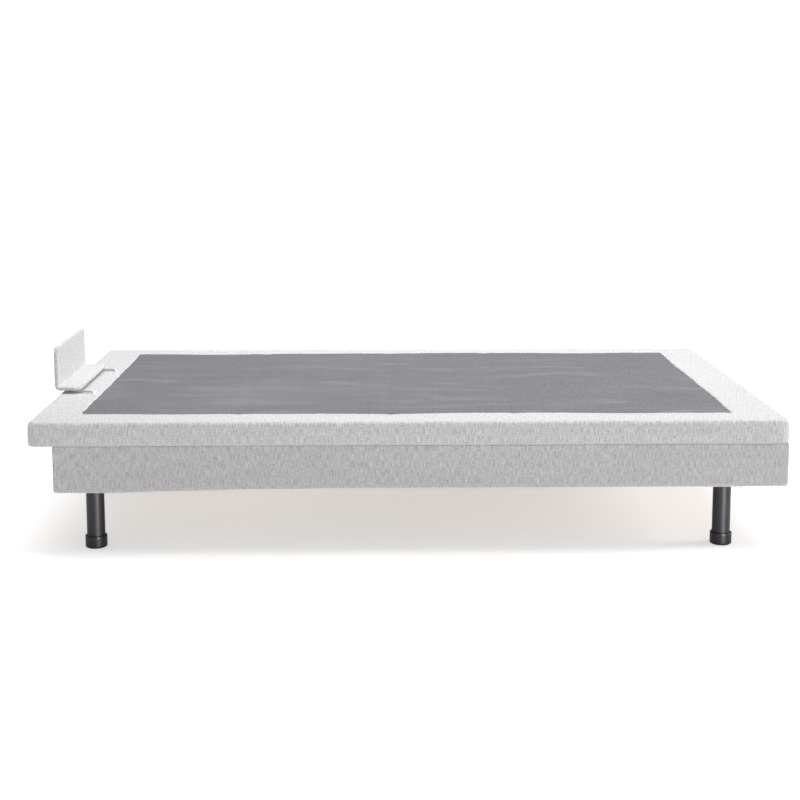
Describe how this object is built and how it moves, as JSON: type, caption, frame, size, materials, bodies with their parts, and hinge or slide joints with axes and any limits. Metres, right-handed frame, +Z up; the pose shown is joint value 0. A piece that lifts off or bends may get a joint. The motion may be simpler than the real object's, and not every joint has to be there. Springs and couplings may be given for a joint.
{
  "type": "adjustable bed base",
  "caption": "Long upholstered bed base whose deck folds at the back, thighs and knees, on a shallow fabric box with round steel legs and a lift-off mattress retainer.",
  "frame": {"origin": "on the floor under the middle of the whole object", "axes": "+X to the head end, along the length; +Y to the right side of a person lying on the bed; +Z up"},
  "size_m": [2.01, 1.2, 0.4886],
  "materials": {
    "linen": "pale grey woven polyester linen with a slubby thread",
    "plywood": "unfinished birch ply and particle board",
    "black_steel": "satin black powder coat",
    "grey_steel": "grey powder coat",
    "zinc": "zinc-plated steel",
    "black_plastic": "moulded black plastic, fine texture"
  },
  "bodies": {
    "base": {"rail_left": "black_steel", "rail_right": "black_steel", "cross_foot": "black_steel", "cross_legs": "black_steel", "cross_back": "black_steel", "skirt_left": "plywood", "skirt_right": "plywood", "skirt_foot": "plywood", "skirt_head": "plywood", "box_wrap": "linen", "leg_foot_left": "black_steel", "leg_foot_right": "black_steel", "leg_head_left": "black_steel", "leg_head_right": "black_steel", "foot_cap_foot_left": "black_plastic", "foot_cap_foot_right": "black_plastic", "foot_cap_head_left": "black_plastic", "foot_cap_head_right": "black_plastic", "seat_board": "plywood", "seat_pad": "linen", "seat_riser_left": "black_steel", "seat_riser_right": "black_steel", "motor_back": "grey_steel", "gearbox_back": "black_plastic", "outer_tube_back": "zinc", "spindle_back": "zinc", "motor_legs": "grey_steel", "gearbox_legs": "black_plastic", "outer_tube_legs": "zinc", "spindle_legs": "zinc", "control_box": "black_plastic", "back_hinge_leaf_fixed": "zinc", "back_hinge_pin": "zinc", "thigh_hinge_leaf_fixed": "zinc", "thigh_hinge_pin": "zinc"},
    "back_section": {"back_board": "plywood", "back_pad": "linen", "back_tube_left": "grey_steel", "back_tube_right": "grey_steel", "back_lever": "black_steel", "back_hinge_leaf_moving": "zinc"},
    "thigh_section": {"thigh_board": "plywood", "thigh_pad": "linen", "thigh_tube_left": "grey_steel", "thigh_tube_right": "grey_steel", "thigh_lever": "black_steel", "thigh_hinge_leaf_moving": "zinc", "knee_hinge_leaf_fixed": "zinc", "knee_hinge_pin": "zinc"},
    "foot_section": {"foot_board": "plywood", "foot_pad": "linen", "foot_tube_left": "grey_steel", "foot_tube_right": "grey_steel", "knee_hinge_leaf_moving": "zinc"},
    "foot_links": {"link_left": "zinc", "link_right": "zinc"},
    "back_rod": {"rod_back": "zinc"},
    "legs_rod": {"rod_legs": "zinc"},
    "retainer": {"retainer_plate": "linen", "retainer_wire": "zinc"}
  },
  "joints": [
    {"name": "back_lift", "type": "hinge", "parent": "base", "child": "back_section", "pos_m": [0.283, 0, 0.3143], "axis": [0, -1, 0], "range_deg": [0, 60]},
    {"name": "back_push", "type": "slide", "parent": "base", "child": "back_rod", "axis": [1, 0, 0], "range_m": [-0.001, 0.11855]},
    {"name": "thigh_lift", "type": "hinge", "parent": "base", "child": "thigh_section", "pos_m": [-0.045, 0, 0.3143], "axis": [0, 1, 0], "range_deg": [0, 35]},
    {"name": "knee_fold", "type": "hinge", "parent": "thigh_section", "child": "foot_section", "pos_m": [-0.451, 0, 0.2867], "axis": [0, 1, 0], "range_deg": [-35.5, 0.5]},
    {"name": "link_swing", "type": "hinge", "parent": "base", "child": "foot_links", "pos_m": [-0.354, 0, 0.2301], "axis": [0, 1, 0], "range_deg": [-0.5, 35.5]},
    {"name": "legs_push", "type": "slide", "parent": "base", "child": "legs_rod", "axis": [-1, 0, 0], "range_m": [-0.001, 0.0652]},
    {"name": "retainer_lift", "type": "slide", "parent": "foot_section", "child": "retainer", "axis": [0, 0, 1], "range_m": [0, 0.1]}
  ],
  "couplings": [
    {"joint": "back_push", "follows": "back_lift", "m_per_rad": 0.11225},
    {"joint": "knee_fold", "follows": "thigh_lift", "ratio": -1},
    {"joint": "link_swing", "follows": "thigh_lift", "ratio": 1},
    {"joint": "legs_push", "follows": "thigh_lift", "m_per_rad": 0.10509}
  ]
}
